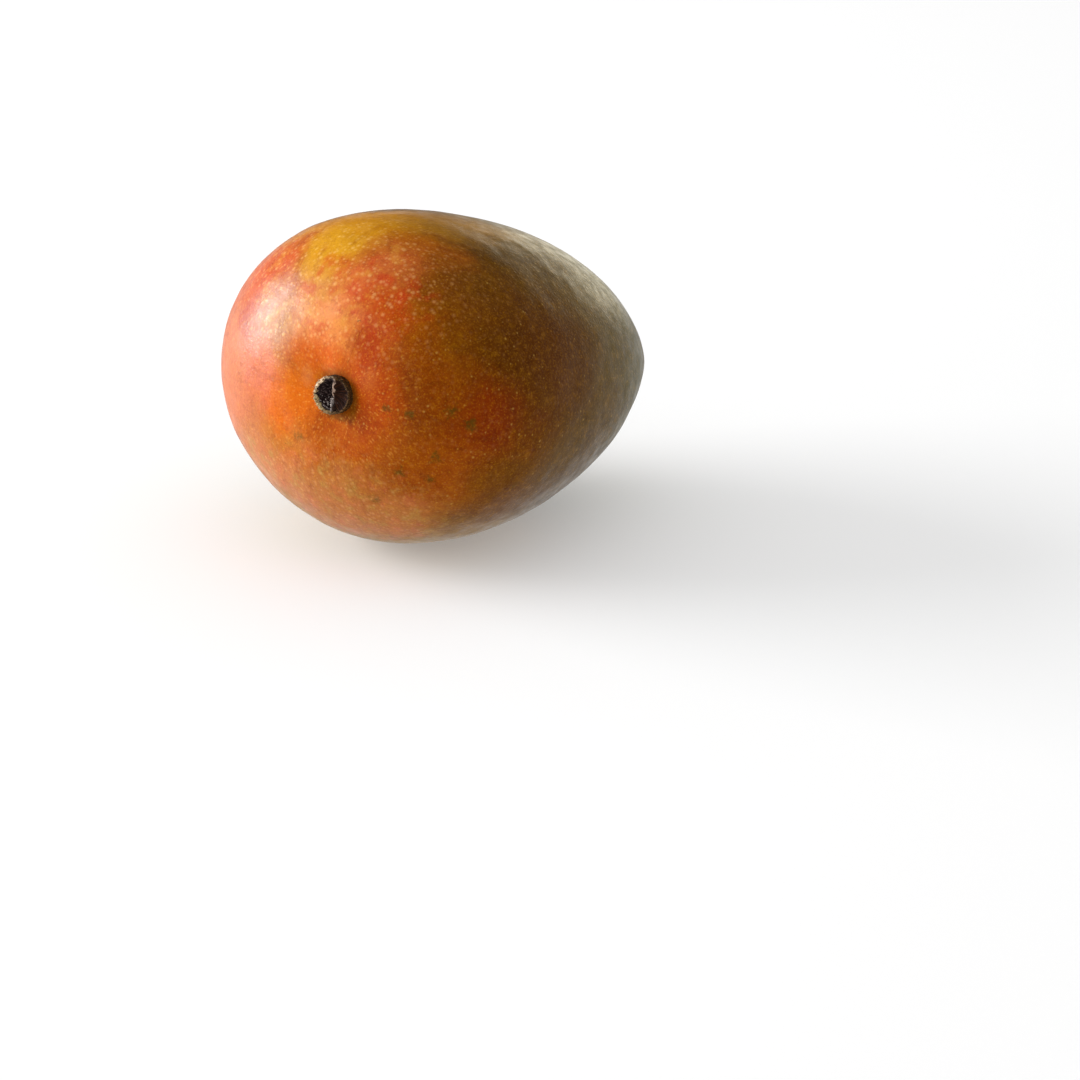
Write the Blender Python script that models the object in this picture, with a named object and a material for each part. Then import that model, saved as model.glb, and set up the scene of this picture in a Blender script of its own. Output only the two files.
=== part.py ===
"""A whole mango with the stub of its stalk, lying on its flatter side.

The fruit is shaped in its own axes, from the middle of its body: +X runs from the stalk end to the tip,
+Y to the back, which bulges, -Y to the belly, where the beak is, and +Z through its thickness.
It is then turned to the attitude in which it rests, and its lowest point is pressed to a small flat spot.
The world origin is under the middle of the whole part, on the surface that it lies on.
"""

import math

import bmesh
import bpy
from mathutils import Matrix, Vector

MM = 0.001

# Driving dimensions of the fruit
HALF_LENGTH = 53.7 * MM
HALF_WIDTH = 43.6 * MM
HALF_THICKNESS = 35.5 * MM

# How the section grows towards the stalk end, fills out at both ends and slims again at the tip, as
# shares of its half width and half thickness
WIDTH_TAPER = 0.10
THICKNESS_TAPER = 0.19
END_FULLNESS = 0.16
TIP_SLIMNESS = 0.07

# How the middle line leaves a straight one: both ends by the bend and the bow, and one end against
# the other by the lean
BEND_TO_BELLY = 6.5 * MM
BOW_UPWARDS = 2.9 * MM
LEAN_TO_BACK = 2.5 * MM
LEAN_DOWNWARDS = 0.85 * MM

# The hollow that the stalk stands in, and the soft folds that run out of it, deepest above the stalk
HOLLOW_DEPTH = 2.4 * MM
HOLLOW_RADIUS = 12.5 * MM
FOLD_DEPTH = 0.26 * MM
FOLD_RADIUS = 9.0 * MM
FOLD_COUNT = 5
FOLD_TURN = math.radians(100.0)
FOLD_FADE_BELOW = 0.4

# The beak, a low knob on the belly near the tip, and the dip beyond it
BEAK_TOWARDS = Vector((0.80, -0.60, 0.02)).normalized()
BEAK_HEIGHT = 1.5 * MM
BEAK_ANGLE = math.radians(15.0)
DIP_TOWARDS = Vector((0.97, -0.24, 0.01)).normalized()
DIP_DEPTH = 0.5 * MM
DIP_ANGLE = math.radians(12.0)

# The attitude at rest, with the weight over the lowest point, and how much of that point is flattened
REST_PITCH = math.radians(6.5)
REST_ROLL = math.radians(3.0)
FLAT_DEPTH = 0.6 * MM
CUT_TOLERANCE = 0.01 * MM

# The mesh of the skin: cells along a side of its first cube, and how they crowd at the stalk and at
# both ends
SKIN_CELLS = 24
STALK_CROWDING = 0.30
ENDS_CROWDING = 0.20

# The stalk's stub, whose own axes are +Z out along the stalk, +X to the belly and +Y upwards
STUB_RADIUS = 4.3 * MM
STUB_END_RADIUS = 4.1 * MM
STUB_ROOT = 1.7 * MM
STUB_SEGMENTS = 40
STUB_RINGS = 8
RIM_HEIGHT = 2.2 * MM
RIM_SLANT = 0.6 * MM
RIM_ROUNDING = 0.3 * MM
RIDGE_PLACE = 0.5 * MM
RIDGE_HALF_WIDTH = 0.6 * MM
RIDGE_HEIGHT = 1.0 * MM
PIT_DEPTH = 2.3 * MM
SLOPE_DEPTH = 0.5 * MM

# Where the rim turns down, where the break begins inside it and where the pit's floor begins, as shares
# of the end's radius
RIM_EDGE = 0.9
BREAK_EDGE = 0.7
PIT_FLOOR_EDGE = 0.5

# Clearance between the stub and its socket in the fruit, and how far the socket's cutter stands out
SOCKET_GAP = 0.3 * MM
SOCKET_REACH = 6.0 * MM

# Colours as linear red, green and blue
SKIN_COLOUR = (0.50, 0.16, 0.035)
STUB_COLOUR = (0.075, 0.048, 0.030)
SKIN_ROUGHNESS = 0.38
STUB_ROUGHNESS = 0.9

# The most that a face may turn from its neighbour and still be shaded smooth
SMOOTH_ANGLE = math.radians(38.0)


def clear_scene():
    """Remove every object of the open scene."""
    for thing in list(bpy.data.objects):
        bpy.data.objects.remove(thing, do_unlink=True)


def make_collection(name):
    """Return a new collection of that name in the scene."""
    collection = bpy.data.collections.new(name)
    bpy.context.scene.collection.children.link(collection)
    return collection


def make_material(name, colour, roughness):
    """Return a plain non-metallic Principled material."""
    material = bpy.data.materials.new(name)
    material.use_nodes = True
    shader = material.node_tree.nodes["Principled BSDF"]
    shader.inputs["Base Color"].default_value = (*colour, 1.0)
    shader.inputs["Roughness"].default_value = roughness
    shader.inputs["Metallic"].default_value = 0.0
    return material


def make_object(name, shape, collection, parent):
    """Turn a bmesh into an object, carried by the empty that lays the fruit down."""
    mesh = bpy.data.meshes.new(name)
    shape.to_mesh(mesh)
    shape.free()
    thing = bpy.data.objects.new(name, mesh)
    collection.objects.link(thing)
    thing.parent = parent
    return thing


def smooth_step(start, end, value):
    """Rise smoothly from 0 where the value is start to 1 where it is end."""
    share = min(max((value - start) / (end - start), 0.0), 1.0)
    return share * share * (3.0 - 2.0 * share)


def knob(direction, towards, reach):
    """Return a bell of height 1 about the direction that it points towards."""
    return math.exp(-(direction.angle(towards) / reach) ** 2)


def body_point(direction):
    """Return the point of the plain ovate body that lies in a unit direction."""
    along = direction.x
    fullness = 1.0 + END_FULLNESS * along ** 2 - TIP_SLIMNESS * along ** 3
    width = HALF_WIDTH * (1.0 - WIDTH_TAPER * along) * fullness
    thickness = HALF_THICKNESS * (1.0 - THICKNESS_TAPER * along) * fullness
    return Vector((
        HALF_LENGTH * along,
        width * direction.y - BEND_TO_BELLY * along ** 2 + LEAN_TO_BACK * along,
        thickness * direction.z + BOW_UPWARDS * along ** 2 - LEAN_DOWNWARDS * along,
    ))


STALK_END = body_point(Vector((-1.0, 0.0, 0.0)))
STALK_FOOT = STALK_END + Vector((HOLLOW_DEPTH, 0.0, 0.0))


def drawn_in(point):
    """Return how far the hollow and its folds draw the skin in along +X, at a point near the stalk."""
    across = point.y - STALK_END.y
    upwards = point.z - STALK_END.z
    distance = math.hypot(across, upwards)
    around = math.atan2(upwards, across)
    hollow = HOLLOW_DEPTH * math.exp(-(distance / HOLLOW_RADIUS) ** 2)
    spread = (distance / FOLD_RADIUS) ** 2
    strength = 1.0 - FOLD_FADE_BELOW * (1.0 - math.sin(around))
    waves = math.cos(FOLD_COUNT * around + FOLD_TURN)
    folds = FOLD_DEPTH * strength * waves * spread * math.exp(1.0 - spread)
    return hollow + folds


def skin_point(direction):
    """Return the point of the finished skin that lies in a unit direction."""
    point = body_point(direction)
    if direction.x < 0.0:
        point.x += drawn_in(point)
    point += direction * BEAK_HEIGHT * knob(direction, BEAK_TOWARDS, BEAK_ANGLE)
    point -= direction * DIP_DEPTH * knob(direction, DIP_TOWARDS, DIP_ANGLE)
    return point


def crowd(direction):
    """Draw a unit direction towards the stalk or the tip, where the skin needs its finest cells."""
    angle = math.acos(min(max(-direction.x, -1.0), 1.0))
    crowded = angle - STALK_CROWDING * math.sin(angle) - ENDS_CROWDING * math.sin(2.0 * angle)
    ring = Vector((0.0, direction.y, direction.z)).normalized()
    return Vector((-math.cos(crowded), 0.0, 0.0)) + ring * math.sin(crowded)


def rest_turn():
    """Return the turn from the fruit's own axes to its attitude at rest."""
    return Matrix.Rotation(REST_PITCH, 4, "Y") @ Matrix.Rotation(REST_ROLL, 4, "X")


def shape_fruit():
    """Return the skin, shaped from a divided cube, with the spot that it rests on cut flat."""
    shape = bmesh.new()
    bmesh.ops.create_cube(shape, size=2.0)
    bmesh.ops.subdivide_edges(shape, edges=shape.edges[:], cuts=SKIN_CELLS - 1, use_grid_fill=True)
    for vertex in shape.verts:
        even = Vector([math.tan(0.25 * math.pi * part) for part in vertex.co])
        vertex.co = skin_point(crowd(even.normalized()))
    upwards = rest_turn().inverted().to_3x3() @ Vector((0.0, 0.0, 1.0))
    lowest = min(vertex.co.dot(upwards) for vertex in shape.verts)
    cut = bmesh.ops.bisect_plane(
        shape,
        geom=shape.verts[:] + shape.edges[:] + shape.faces[:],
        dist=CUT_TOLERANCE,
        plane_co=upwards * (lowest + FLAT_DEPTH),
        plane_no=-upwards,
        clear_outer=True,
    )
    outline = [part for part in cut["geom_cut"] if isinstance(part, bmesh.types.BMEdge)]
    bmesh.ops.contextual_create(shape, geom=outline)
    bmesh.ops.recalc_face_normals(shape, faces=shape.faces[:])
    return shape


def stub_height(across, upwards):
    """Return the height of the stub's broken end at a place on it, over the floor of the hollow."""
    share = math.hypot(across, upwards) / STUB_END_RADIUS
    inside = smooth_step(1.0, BREAK_EDGE, share)
    pit_side = smooth_step(RIDGE_PLACE, RIDGE_PLACE - 2.0 * RIDGE_HALF_WIDTH, across)
    slant = RIM_SLANT * across / STUB_END_RADIUS
    rim = RIM_HEIGHT - slant - RIM_ROUNDING * smooth_step(RIM_EDGE, 1.0, share)
    ridge = RIDGE_HEIGHT * math.exp(-((across - RIDGE_PLACE) / RIDGE_HALF_WIDTH) ** 2) * inside
    pit = PIT_DEPTH * pit_side * smooth_step(RIM_EDGE, PIT_FLOOR_EDGE, share)
    slope = SLOPE_DEPTH * (1.0 - pit_side) * inside
    return rim + ridge - pit - slope


def shape_stub():
    """Return the stub, a short cylinder whose outer end is inset in rings and then broken."""
    shape = bmesh.new()
    bmesh.ops.create_cone(
        shape,
        cap_ends=True,
        segments=STUB_SEGMENTS,
        radius1=STUB_RADIUS,
        radius2=STUB_END_RADIUS,
        depth=STUB_ROOT,
        matrix=Matrix.Translation((0.0, 0.0, -0.5 * STUB_ROOT)),
    )
    end = max(shape.faces, key=lambda face: face.calc_center_median().z)
    ring_width = STUB_END_RADIUS * math.cos(math.pi / STUB_SEGMENTS) / (STUB_RINGS + 1)
    for _ in range(STUB_RINGS):
        bmesh.ops.inset_individual(shape, faces=[end], thickness=ring_width)
    bmesh.ops.poke(shape, faces=[end])
    for vertex in shape.verts:
        if vertex.co.z > -0.5 * STUB_ROOT:
            vertex.co.z = stub_height(vertex.co.x, vertex.co.y)
    return shape


def shape_socket():
    """Return the cutter of the socket, wider and deeper than the stub's root by the gap."""
    depth = STUB_ROOT + SOCKET_GAP + SOCKET_REACH
    shape = bmesh.new()
    bmesh.ops.create_cone(
        shape,
        cap_ends=True,
        segments=STUB_SEGMENTS,
        radius1=STUB_RADIUS + SOCKET_GAP,
        radius2=STUB_RADIUS + SOCKET_GAP,
        depth=depth,
        matrix=Matrix.Translation((0.0, 0.0, 0.5 * depth - STUB_ROOT - SOCKET_GAP)),
    )
    return shape


def stalk_frame():
    """Return the matrix from the stub's own axes to the fruit's."""
    turn = Matrix(((0.0, 0.0, -1.0), (-1.0, 0.0, 0.0), (0.0, 1.0, 0.0))).to_4x4()
    return Matrix.Translation(STALK_FOOT) @ turn


def lay_down(shapes):
    """Return the matrix that rests the shapes on the surface, with the origin under their middle."""
    turn = rest_turn()
    points = [turn @ vertex.co for shape in shapes for vertex in shape.verts]
    low = Vector([min(point[axis] for point in points) for axis in range(3)])
    high = Vector([max(point[axis] for point in points) for axis in range(3)])
    middle = 0.5 * (low + high)
    return Matrix.Translation((-middle.x, -middle.y, -low.z)) @ turn


def shade(thing, material):
    """Give an object its material, smooth but for its sharp edges."""
    thing.data.materials.append(material)
    thing.data.shade_smooth()
    thing.data.set_sharp_from_angle(angle=SMOOTH_ANGLE)


def cut_socket(fruit, cutter):
    """Sink the stalk's socket into the fruit, and keep the cutter out of sight."""
    boolean = fruit.modifiers.new("stalk_socket", "BOOLEAN")
    boolean.operation = "DIFFERENCE"
    boolean.solver = "EXACT"
    boolean.object = cutter
    cutter.hide_render = True
    cutter.display_type = "WIRE"


def main():
    """Build the fruit, its stub and the socket between them, and lay them down."""
    clear_scene()
    parts = make_collection("mango")
    cutters = make_collection("cutters")

    fruit_shape = shape_fruit()
    stub_shape = shape_stub()
    stub_shape.transform(stalk_frame())
    socket_shape = shape_socket()
    socket_shape.transform(stalk_frame())

    pose = bpy.data.objects.new("lying_fruit", None)
    pose.matrix_world = lay_down([fruit_shape, stub_shape])
    parts.objects.link(pose)

    fruit = make_object("fruit", fruit_shape, parts, pose)
    stub = make_object("stalk_stub", stub_shape, parts, pose)
    socket = make_object("stalk_socket_cutter", socket_shape, cutters, pose)
    cut_socket(fruit, socket)
    shade(fruit, make_material("skin", SKIN_COLOUR, SKIN_ROUGHNESS))
    shade(stub, make_material("stalk", STUB_COLOUR, STUB_ROUGHNESS))


if __name__ == "__main__":
    main()
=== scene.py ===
"""A whole mango with the broken stub of its stalk, finished for a soft studio picture.

Sizes are in millimetres in the classes below and in metres in Blender. The fruit is shaped in its own axes:
+X runs from the stalk end to the tip, +Y to the full back, -Y to the belly, and +Z through its thickness.
It is then turned to the attitude in which it rests, inside the box of the model that it is built around.
"""

import logging
import math
from dataclasses import dataclass, field
from enum import Enum
from typing import Sequence, Union

import bpy
import numpy as np
from mathutils import Matrix, Vector, noise


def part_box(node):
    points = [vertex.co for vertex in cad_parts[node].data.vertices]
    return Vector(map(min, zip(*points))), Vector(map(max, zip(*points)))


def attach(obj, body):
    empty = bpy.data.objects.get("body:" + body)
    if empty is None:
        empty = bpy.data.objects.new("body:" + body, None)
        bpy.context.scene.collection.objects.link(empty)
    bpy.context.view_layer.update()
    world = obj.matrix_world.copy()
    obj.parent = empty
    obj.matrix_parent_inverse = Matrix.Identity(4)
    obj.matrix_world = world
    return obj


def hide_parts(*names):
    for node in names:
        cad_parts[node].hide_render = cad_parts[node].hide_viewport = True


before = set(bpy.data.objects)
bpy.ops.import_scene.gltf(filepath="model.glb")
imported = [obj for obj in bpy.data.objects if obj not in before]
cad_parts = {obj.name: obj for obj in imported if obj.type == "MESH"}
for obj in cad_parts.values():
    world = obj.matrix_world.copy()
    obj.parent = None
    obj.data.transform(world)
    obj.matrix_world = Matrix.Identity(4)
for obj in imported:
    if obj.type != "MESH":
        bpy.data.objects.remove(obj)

LOG = logging.getLogger("mango")
MM = 0.001
TINY = 1e-12
SHADER = "Principled BSDF"
# How far a noise texture usually swings from its middle.
NOISE_SWING = 0.2
# The inputs of a Mix node for the share, the first and the second, as numbers and as colours.
MIX_NUMBERS = (0, 2, 3)
MIX_COLOURS = (0, 6, 7)

Socket = bpy.types.NodeSocket
Pair = tuple[float, float]
Triple = tuple[float, float, float]
Number = Union[float, Socket]
Paint = Union["Colour", Socket]
Value = Union[float, "Colour", Socket, Sequence[float]]
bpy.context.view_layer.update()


class Lighting(Enum):
    """What a light is seen by."""

    MATT = "scattered light only"
    SHINE = "mirrored light only"


class Mixing(Enum):
    """How one colour is laid over another."""

    COVER = "MIX"
    STAIN = "MULTIPLY"
    LIGHTEN = "SCREEN"


@dataclass(frozen=True)
class Colour:
    """A colour as it is seen on a screen, each part from 0 to 255."""

    red: float
    green: float
    blue: float

    def linear(self) -> tuple[float, float, float, float]:
        """Straighten the curve of a screen's colours.

        Returns:
            The linear red, green, blue and alpha that a shader works in.
        """
        parts = [part / 255.0 for part in (self.red, self.green, self.blue)]
        straight = [part / 12.92 if part <= 0.04045 else ((part + 0.055) / 1.055) ** 2.4 for part in parts]
        return (*straight, 1.0)


WHITE = Colour(255, 255, 255)


@dataclass(frozen=True)
class Tone:
    """A colour that is laid more and more strongly as a number goes from a start to an end."""

    colour: Colour
    start: float
    end: float
    strength: float = 1.0
    mixing: Mixing = Mixing.COVER


@dataclass(frozen=True)
class Pattern:
    """A soft random pattern: its larger spots' width and its shift in millimetres, and its finer layers."""

    size: float
    detail: float = 2.0
    roughness: float = 0.5
    shift: Triple = (0.0, 0.0, 0.0)


@dataclass(frozen=True)
class Zone:
    """A soft region: its middle, its reach, and how many reaches away it starts and is full."""

    middle: Triple
    reach: Triple
    edge: Pair
    strength: float = 1.0


@dataclass(frozen=True)
class Mottling:
    """Tones that are laid by one pattern, all over or in one zone."""

    pattern: Pattern
    tones: tuple[Tone, ...]
    zone: Union[Zone, None] = None


@dataclass(frozen=True)
class Drift:
    """A wandering from place: its width and reach in millimetres, and its finer layers."""

    size: float
    reach: float
    detail: float = 1.0


class Bench:
    """Lays out the nodes of one finish: each call adds a node and returns the socket to read."""

    def __init__(self, tree: bpy.types.NodeTree) -> None:
        """Work on a node tree.

        Args:
            tree: The nodes of a material or of the world.
        """
        self.nodes = tree.nodes
        self.links = tree.links

    def feed(self, socket: Socket, value: Value) -> None:
        """Link a socket, or set its own value where the value is a constant.

        Args:
            socket: The input to fill.
            value: A socket, a number, a colour or a vector.
        """
        if isinstance(value, Socket):
            self.links.new(value, socket)
        elif isinstance(value, Colour):
            socket.default_value = value.linear()
        else:
            socket.default_value = value

    def fill(self, node: str, **inputs: Value) -> None:
        """Fill a node's inputs, named with underscores for spaces.

        Args:
            node: The node's name.
            inputs: The value of each input, by its name.
        """
        for name, value in inputs.items():
            self.feed(self.nodes[node].inputs[name.replace("_", " ")], value)

    def place(self, turn: Matrix) -> Socket:
        """Read the object's coordinates, carried by a matrix, in millimetres.

        Args:
            turn: The rigid matrix, in metres, from the object's axes to the ones wanted.

        Returns:
            The coordinates.
        """
        source = self.nodes.new("ShaderNodeTexCoord")
        mapping = self.nodes.new("ShaderNodeMapping")
        mapping.vector_type = "POINT"
        self.feed(mapping.inputs["Vector"], source.outputs["Object"])
        mapping.inputs["Location"].default_value = turn.to_translation() / MM
        mapping.inputs["Rotation"].default_value = turn.to_euler("XYZ")
        mapping.inputs["Scale"].default_value = (1.0 / MM,) * 3
        return mapping.outputs["Vector"]

    def operate(self, kind: str, operation: str, values: Sequence[Value]) -> bpy.types.Node:
        """Add the node of one sum.

        Args:
            kind: The kind of node.
            operation: The name of the sum, as the node has it.
            values: What goes into it.

        Returns:
            The node.
        """
        node = self.nodes.new(kind)
        node.operation = operation
        for socket, value in zip(node.inputs, values):
            self.feed(socket, value)
        return node

    def compute(self, operation: str, *values: Number) -> Socket:
        """Return the result of one sum on numbers."""
        return self.operate("ShaderNodeMath", operation, values).outputs["Value"]

    def vector(self, operation: str, *values: Value) -> Socket:
        """Return the vector that one sum on vectors gives."""
        return self.operate("ShaderNodeVectorMath", operation, values).outputs["Vector"]

    def measure(self, operation: str, *values: Value) -> Socket:
        """Return the number that one sum on vectors gives."""
        return self.operate("ShaderNodeVectorMath", operation, values).outputs["Value"]

    def product(self, *values: Number) -> Number:
        """Multiply any count of numbers.

        Args:
            values: The numbers.

        Returns:
            Their product.
        """
        result = values[0]
        for value in values[1:]:
            result = self.compute("MULTIPLY", result, value)
        return result

    def step(self, value: Number, start: float, end: float, low: float = 0.0, high: float = 1.0) -> Socket:
        """Rise or fall smoothly from low to high as a value goes from start to end.

        Args:
            value: What is read.
            start: Where the result is low.
            end: Where the result is high; it may be less than start.
            low: The result at the start and before.
            high: The result at the end and beyond.

        Returns:
            The result.
        """
        node = self.nodes.new("ShaderNodeMapRange")
        node.interpolation_type = "SMOOTHSTEP"
        parts = {"Value": value, "From Min": start, "From Max": end, "To Min": low, "To Max": high}
        for name, part in parts.items():
            self.feed(node.inputs[name], part)
        return node.outputs["Result"]

    def texture(self, kind: str, place: Socket, **settings: float) -> bpy.types.Node:
        """Add a texture.

        Args:
            kind: The kind of node.
            place: The coordinates to read it at, in millimetres.
            settings: The values of its inputs, by their names.

        Returns:
            The texture's node.
        """
        node = self.nodes.new(kind)
        self.feed(node.inputs["Vector"], place)
        for name, setting in settings.items():
            node.inputs[name].default_value = setting
        return node

    def noise(self, place: Socket, pattern: Pattern) -> Socket:
        """Read a soft random pattern.

        Args:
            place: The coordinates to read it at, in millimetres.
            pattern: Its size and layers.

        Returns:
            A number about 0.5.
        """
        if any(pattern.shift):
            place = self.vector("ADD", place, pattern.shift)
        return self.texture("ShaderNodeTexNoise", place, Scale=1.0 / pattern.size, Detail=pattern.detail,
                            Roughness=pattern.roughness).outputs["Fac"]

    def drift(self, place: Socket, *layers: Drift) -> Socket:
        """Let coordinates wander from their place, so that what is laid by them has ragged edges.

        Args:
            place: The coordinates, in millimetres.
            layers: The wanderings, one on the other.

        Returns:
            The wandering coordinates.
        """
        for layer in layers:
            node = self.texture("ShaderNodeTexNoise", place, Scale=1.0 / layer.size, Detail=layer.detail)
            swing = layer.reach / NOISE_SWING
            moved = self.vector("MULTIPLY_ADD", node.outputs["Color"], (swing,) * 3, place)
            place = self.vector("SUBTRACT", moved, (0.5 * swing,) * 3)
        return place

    def spots(self, place: Socket, spacing: float, scatter: float = 1.0) -> tuple[Socket, Socket]:
        """Scatter points.

        Args:
            place: The coordinates to read them at, in millimetres.
            spacing: The mean distance between points, in millimetres.
            scatter: How far the points leave an even grid, from 0 to 1.

        Returns:
            The distance to the nearest point in millimetres, and that point's random number from 0 to 1.
        """
        node = self.texture("ShaderNodeTexVoronoi", place, Scale=1.0 / spacing, Randomness=scatter)
        parts = self.nodes.new("ShaderNodeSeparateColor")
        self.feed(parts.inputs["Color"], node.outputs["Color"])
        return self.product(node.outputs["Distance"], spacing), parts.outputs["Red"]

    def distance(self, place: Socket, middle: Triple, reach: Triple = (1.0, 1.0, 1.0)) -> Socket:
        """Measure the distance from a point, counted in its reach along each axis.

        Args:
            place: The coordinates, in millimetres.
            middle: The point, in millimetres.
            reach: The distance that counts as 1 along each axis, in millimetres.

        Returns:
            The distance.
        """
        mapping = self.nodes.new("ShaderNodeMapping")
        self.feed(mapping.inputs["Vector"], place)
        mapping.inputs["Location"].default_value = [-part / far for part, far in zip(middle, reach)]
        mapping.inputs["Scale"].default_value = [1.0 / far for far in reach]
        return self.measure("LENGTH", mapping.outputs["Vector"])

    def within(self, place: Socket, zone: Zone) -> Socket:
        """Return how far inside a zone a place lies, from 0 to the zone's strength."""
        return self.step(self.distance(place, zone.middle, zone.reach), *zone.edge, 0.0, zone.strength)

    def lay(self, share: Number, under: Paint, over: Paint, mixing: Mixing = Mixing.COVER) -> Socket:
        """Lay one colour over another.

        Args:
            share: How strongly, from 0 to 1.
            under: The colour below.
            over: The colour laid on it.
            mixing: How it is laid.

        Returns:
            The colour that they make.
        """
        node = self.nodes.new("ShaderNodeMix")
        node.data_type = "RGBA"
        node.blend_type = mixing.value
        for index, value in zip(MIX_COLOURS, (share, under, over)):
            self.feed(node.inputs[index], value)
        return node.outputs[2]

    def tint(self, value: Number, under: Paint, tone: Tone, *where: Number) -> Socket:
        """Lay a tone over a colour.

        Args:
            value: The number that the tone goes by.
            under: The colour below.
            tone: What is laid.
            where: Further shares of it, from 0 to 1.

        Returns:
            The colour that they make.
        """
        share = self.step(value, tone.start, tone.end, 0.0, tone.strength)
        return self.lay(self.product(share, *where), under, tone.colour, tone.mixing)

    def between(self, share: Number, first: Number, second: Number) -> Socket:
        """Find the number between two others.

        Args:
            share: Where it lies, from 0 at the first to 1 at the second.
            first: The one number.
            second: The other number.

        Returns:
            The number between.
        """
        node = self.nodes.new("ShaderNodeMix")
        for index, value in zip(MIX_NUMBERS, (share, first, second)):
            self.feed(node.inputs[index], value)
        return node.outputs[0]

    def split(self, vector: Socket) -> tuple[Socket, Socket, Socket]:
        """Take a vector apart.

        Args:
            vector: The vector.

        Returns:
            Its parts along X, Y and Z.
        """
        node = self.nodes.new("ShaderNodeSeparateXYZ")
        self.feed(node.inputs["Vector"], vector)
        return node.outputs["X"], node.outputs["Y"], node.outputs["Z"]

    def relief(self, height: Number, depth: float, below: Union[Socket, None] = None) -> Socket:
        """Give a surface a relief.

        Args:
            height: The relief, from 0 to 1.
            depth: How deep its full range is, in millimetres.
            below: The normal that it lies on, if that has a relief already.

        Returns:
            The normal with the relief on it.
        """
        node = self.nodes.new("ShaderNodeBump")
        node.inputs["Distance"].default_value = depth * MM
        self.feed(node.inputs["Height"], height)
        if below is not None:
            self.feed(node.inputs["Normal"], below)
        return node.outputs["Normal"]


def new_material(name: str) -> tuple[bpy.types.Material, Bench]:
    """Start a material that has only its shader.

    Args:
        name: The material's name.

    Returns:
        The material and the bench for its nodes.
    """
    material = bpy.data.materials.new(name)
    material.use_nodes = True
    return material, Bench(material.node_tree)


def fresh_start() -> None:
    """Leave edit mode and deselect everything, so that an operator reaches only what comes next."""
    if bpy.context.object is not None and bpy.context.object.mode != "OBJECT":
        bpy.ops.object.mode_set(mode="OBJECT")
    bpy.ops.object.select_all(action="DESELECT")


def new_piece(name: str) -> bpy.types.Object:
    """Name the mesh object that was just made.

    Args:
        name: Its name.

    Returns:
        The object.
    """
    piece = bpy.context.object
    piece.name = piece.data.name = name
    return piece


def edit_all() -> None:
    """Enter edit mode with the whole mesh selected."""
    bpy.ops.object.mode_set(mode="EDIT")
    bpy.ops.mesh.select_all(action="SELECT")


def points_of(piece: bpy.types.Object) -> np.ndarray:
    """Read the vertices of a mesh.

    Args:
        piece: The mesh object.

    Returns:
        Its vertices, one row each.
    """
    flat = np.empty(3 * len(piece.data.vertices), np.float32)
    piece.data.vertices.foreach_get("co", flat)
    return flat.reshape(-1, 3).astype(float)


def set_points(piece: bpy.types.Object, points: np.ndarray) -> None:
    """Move the vertices of a mesh object to the rows given."""
    piece.data.vertices.foreach_set("co", points.astype(np.float32).ravel())
    piece.data.update()


def smooth_off(piece: bpy.types.Object) -> None:
    """Turn the faces of a mesh outwards and shade it smooth.

    Args:
        piece: The mesh object.
    """
    fresh_start()
    piece.select_set(True)
    bpy.context.view_layer.objects.active = piece
    edit_all()
    bpy.ops.mesh.normals_make_consistent(inside=False)
    bpy.ops.object.mode_set(mode="OBJECT")
    bpy.ops.object.shade_smooth()


def set_in_place(piece: bpy.types.Object, matrix: Matrix) -> None:
    """Put a shaped mesh in its place in the model, and smooth it off.

    Args:
        piece: The object, whose mesh is in millimetres in its own axes.
        matrix: The matrix, in metres, from those axes to the model's.
    """
    set_points(piece, points_of(piece) * MM)
    piece.data.transform(matrix)
    smooth_off(piece)


def smooth(values: np.ndarray, start: float, end: float) -> np.ndarray:
    """Return a smooth rise from 0 where the values are start to 1 where they are end."""
    share = np.clip((values - start) / (end - start), 0.0, 1.0)
    return share * share * (3.0 - 2.0 * share)


def bell(values: np.ndarray, middle: float, reach: float) -> np.ndarray:
    """Return a bell of height 1 about a middle, which has fallen to a third at its reach."""
    return np.exp(-((values - middle) / reach) ** 2)


def grain(points: np.ndarray, size: float, layers: int = 3) -> np.ndarray:
    """Read a soft random relief.

    Args:
        points: Where it is read, one row each.
        size: The width of its larger lumps, in the unit of the points.
        layers: How many layers of finer lumps it has.

    Returns:
        Its height about 0 at each point.
    """
    return np.array([noise.fractal(Vector(point), 1.0, 2.0, layers) for point in points / size])


def copies_of(model: bpy.types.Object, name: str, shapes: Sequence[np.ndarray]) -> bpy.types.Object:
    """Copy a mesh object once for each shape, join the copies and remove the model of them.

    Args:
        model: The object that is copied.
        name: The name of the joined object.
        shapes: The vertices of each copy, one row each.

    Returns:
        The joined object.
    """
    copies = []
    for shape in shapes:
        copy = bpy.data.objects.new(name, model.data.copy())
        bpy.context.scene.collection.objects.link(copy)
        set_points(copy, shape)
        copies.append(copy)
    bpy.data.objects.remove(model, do_unlink=True)
    fresh_start()
    for copy in copies:
        copy.select_set(True)
    bpy.context.view_layer.objects.active = copies[0]
    bpy.ops.object.join()
    return new_piece(name)


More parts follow.
